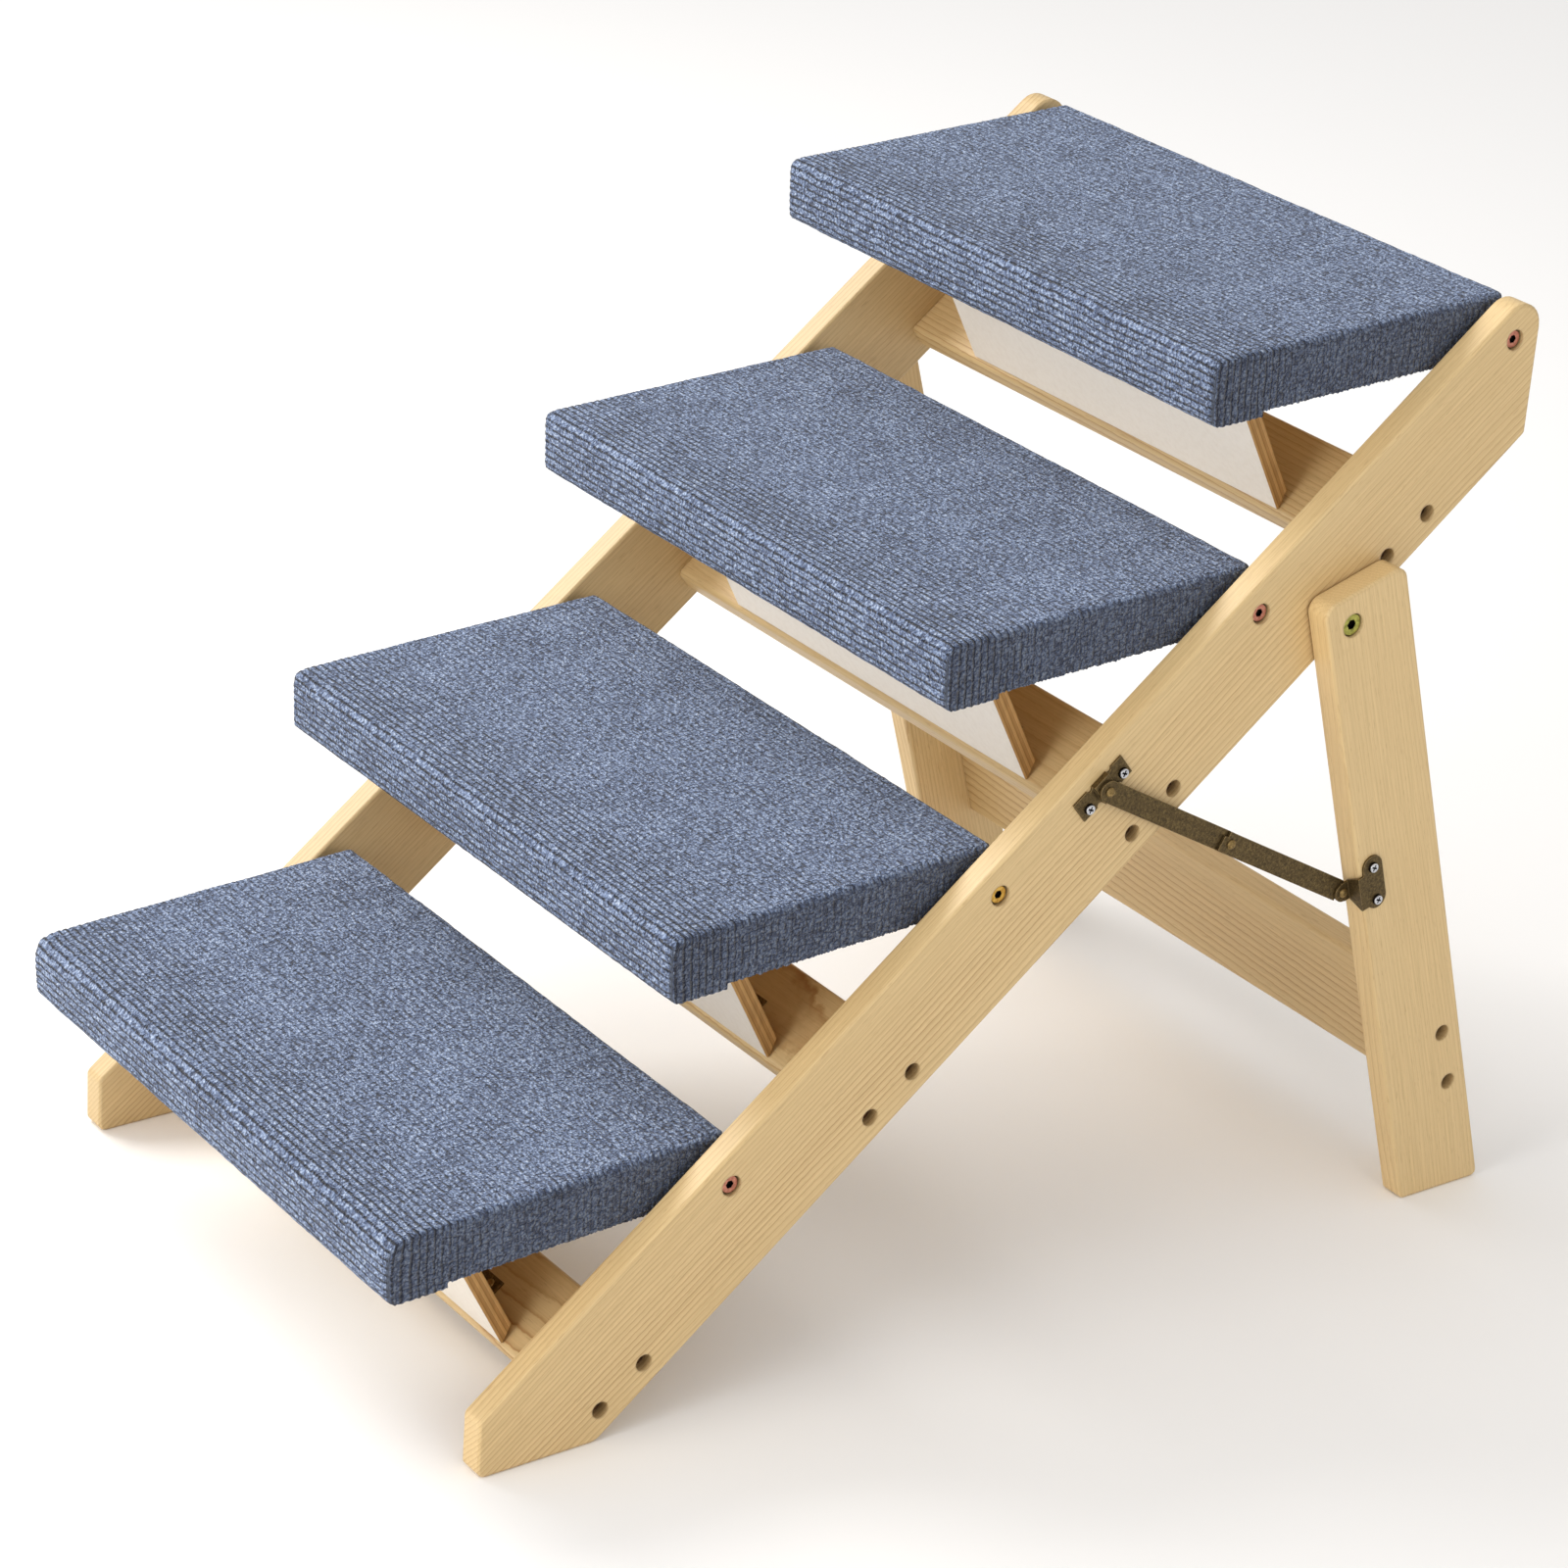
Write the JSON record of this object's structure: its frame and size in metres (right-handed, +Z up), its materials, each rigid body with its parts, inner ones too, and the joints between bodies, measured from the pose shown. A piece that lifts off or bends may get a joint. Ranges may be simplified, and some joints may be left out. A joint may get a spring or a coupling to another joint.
{
  "type": "dog ramp",
  "caption": "Folding wooden dog steps with carpeted treads that tilt down into a ramp; rear legs fold along the side rails.",
  "frame": {"origin": "middle of the length and width, on the floor, with the steps standing up", "axes": "+X climbs from the low front end to the high rear end, +Y is the left side, +Z is up"},
  "size_m": [0.735, 0.474, 0.5471],
  "materials": {
    "pine": "satin lacquered",
    "tread_wood": "bare",
    "carpet": "short looped pile",
    "copper_bolt": "plated",
    "yellow_bolt": "plated",
    "sleeve_metal": "plated",
    "faced_board": "white faced",
    "hinge_metal": "antique",
    "hinge_screw_metal": "plated",
    "zinc": "zinc plated",
    "olive_bolt": "passivated",
    "bronze": "antique mottled"
  },
  "bodies": {
    "frame": {"rail_left": "pine", "rail_right": "pine", "crossbar_1": "pine", "crossbar_2": "pine", "crossbar_3": "pine", "crossbar_4": "pine", "crossbar_screws": "bronze", "hinge_leaves": "hinge_metal", "hinge_screws": "hinge_screw_metal", "leg_bolts": "olive_bolt", "leg_washers": "sleeve_metal", "leg_nuts": "sleeve_metal", "rail_brackets": "bronze", "rail_bracket_screws": "zinc", "rail_rivets": "bronze"},
    "tread_1": {"tread_board_1": "tread_wood", "tread_carpet_1": "carpet", "tread_bolts_1": "copper_bolt", "tread_sleeves_1": "sleeve_metal"},
    "flap_1": {"flap_1": "faced_board", "flap_leaves_1": "hinge_metal", "flap_screws_1": "hinge_screw_metal"},
    "tread_2": {"tread_board_2": "tread_wood", "tread_carpet_2": "carpet", "tread_bolts_2": "yellow_bolt", "tread_sleeves_2": "sleeve_metal"},
    "flap_2": {"flap_2": "faced_board", "flap_leaves_2": "hinge_metal", "flap_screws_2": "hinge_screw_metal"},
    "tread_3": {"tread_board_3": "tread_wood", "tread_carpet_3": "carpet", "tread_bolts_3": "copper_bolt", "tread_sleeves_3": "sleeve_metal"},
    "flap_3": {"flap_3": "faced_board", "flap_leaves_3": "hinge_metal", "flap_screws_3": "hinge_screw_metal"},
    "tread_4": {"tread_board_4": "tread_wood", "tread_carpet_4": "carpet", "tread_bolts_4": "copper_bolt", "tread_sleeves_4": "sleeve_metal"},
    "flap_4": {"flap_4": "faced_board", "flap_leaves_4": "hinge_metal", "flap_screws_4": "hinge_screw_metal"},
    "legs": {"leg_left": "pine", "leg_right": "pine", "leg_crossbar": "pine", "leg_crossbar_screws": "bronze", "leg_brackets": "bronze", "leg_bracket_screws": "zinc", "leg_rivets": "bronze"},
    "upper_arm_left": {"upper_arm_left": "bronze"},
    "lower_arm_left": {"lower_arm_left": "bronze", "elbow_rivet_left": "bronze"},
    "upper_arm_right": {"upper_arm_right": "bronze"},
    "lower_arm_right": {"lower_arm_right": "bronze", "elbow_rivet_right": "bronze"}
  },
  "joints": [
    {"name": "tread_1_tilt", "type": "hinge", "parent": "frame", "child": "tread_1", "pos_m": [-0.1725, 0, 0.13316], "axis": [0, -1, 0], "range_deg": [0, 36.1]},
    {"name": "tread_2_tilt", "type": "hinge", "parent": "frame", "child": "tread_2", "pos_m": [-0.00865, 0, 0.26452], "axis": [0, -1, 0], "range_deg": [0, 36.1]},
    {"name": "tread_3_tilt", "type": "hinge", "parent": "frame", "child": "tread_3", "pos_m": [0.15519, 0, 0.39588], "axis": [0, -1, 0], "range_deg": [0, 36.1]},
    {"name": "tread_4_tilt", "type": "hinge", "parent": "frame", "child": "tread_4", "pos_m": [0.31903, 0, 0.52723], "axis": [0, -1, 0], "range_deg": [0, 36.1]},
    {"name": "flap_1_fold", "type": "hinge", "parent": "tread_1", "child": "flap_1", "pos_m": [-0.3075, 0, 0.11014], "axis": [0, 1, 0], "range_deg": [0, 107.4]},
    {"name": "flap_2_fold", "type": "hinge", "parent": "tread_2", "child": "flap_2", "pos_m": [-0.14366, 0, 0.24149], "axis": [0, 1, 0], "range_deg": [0, 107.4]},
    {"name": "flap_3_fold", "type": "hinge", "parent": "tread_3", "child": "flap_3", "pos_m": [0.02019, 0, 0.37285], "axis": [0, 1, 0], "range_deg": [0, 107.4]},
    {"name": "flap_4_fold", "type": "hinge", "parent": "tread_4", "child": "flap_4", "pos_m": [0.18403, 0, 0.50421], "axis": [0, 1, 0], "range_deg": [0, 107.4]},
    {"name": "leg_fold", "type": "hinge", "parent": "frame", "child": "legs", "pos_m": [0.2075, 0, 0.3859], "axis": [0, 1, 0], "range_deg": [0, 68.1]},
    {"name": "upper_arm_left_turn", "type": "hinge", "parent": "frame", "child": "upper_arm_left", "pos_m": [0.05615, 0.222, 0.31366], "axis": [0, 1, 0], "range_deg": [0, 133.41]},
    {"name": "lower_arm_left_turn", "type": "hinge", "parent": "legs", "child": "lower_arm_left", "pos_m": [0.23492, 0.222, 0.21396], "axis": [0, 1, 0], "range_deg": [-104.97, 0]},
    {"name": "upper_arm_right_turn", "type": "hinge", "parent": "frame", "child": "upper_arm_right", "pos_m": [0.05615, -0.222, 0.31366], "axis": [0, 1, 0], "range_deg": [0, 133.41]},
    {"name": "lower_arm_right_turn", "type": "hinge", "parent": "legs", "child": "lower_arm_right", "pos_m": [0.23492, -0.222, 0.21396], "axis": [0, 1, 0], "range_deg": [-104.97, 0]}
  ],
  "couplings": [
    {"joint": "tread_2_tilt", "follows": "tread_1_tilt", "ratio": 1},
    {"joint": "tread_3_tilt", "follows": "tread_1_tilt", "ratio": 1},
    {"joint": "tread_4_tilt", "follows": "tread_1_tilt", "ratio": 1},
    {"joint": "flap_1_fold", "follows": "tread_1_tilt", "ratio": 2.975},
    {"joint": "flap_2_fold", "follows": "tread_1_tilt", "ratio": 2.975},
    {"joint": "flap_3_fold", "follows": "tread_1_tilt", "ratio": 2.975},
    {"joint": "flap_4_fold", "follows": "tread_1_tilt", "ratio": 2.975},
    {"joint": "upper_arm_left_turn", "follows": "leg_fold", "ratio": 1.9589},
    {"joint": "lower_arm_left_turn", "follows": "leg_fold", "ratio": -1.5413},
    {"joint": "upper_arm_right_turn", "follows": "leg_fold", "ratio": 1.9589},
    {"joint": "lower_arm_right_turn", "follows": "leg_fold", "ratio": -1.5413}
  ]
}
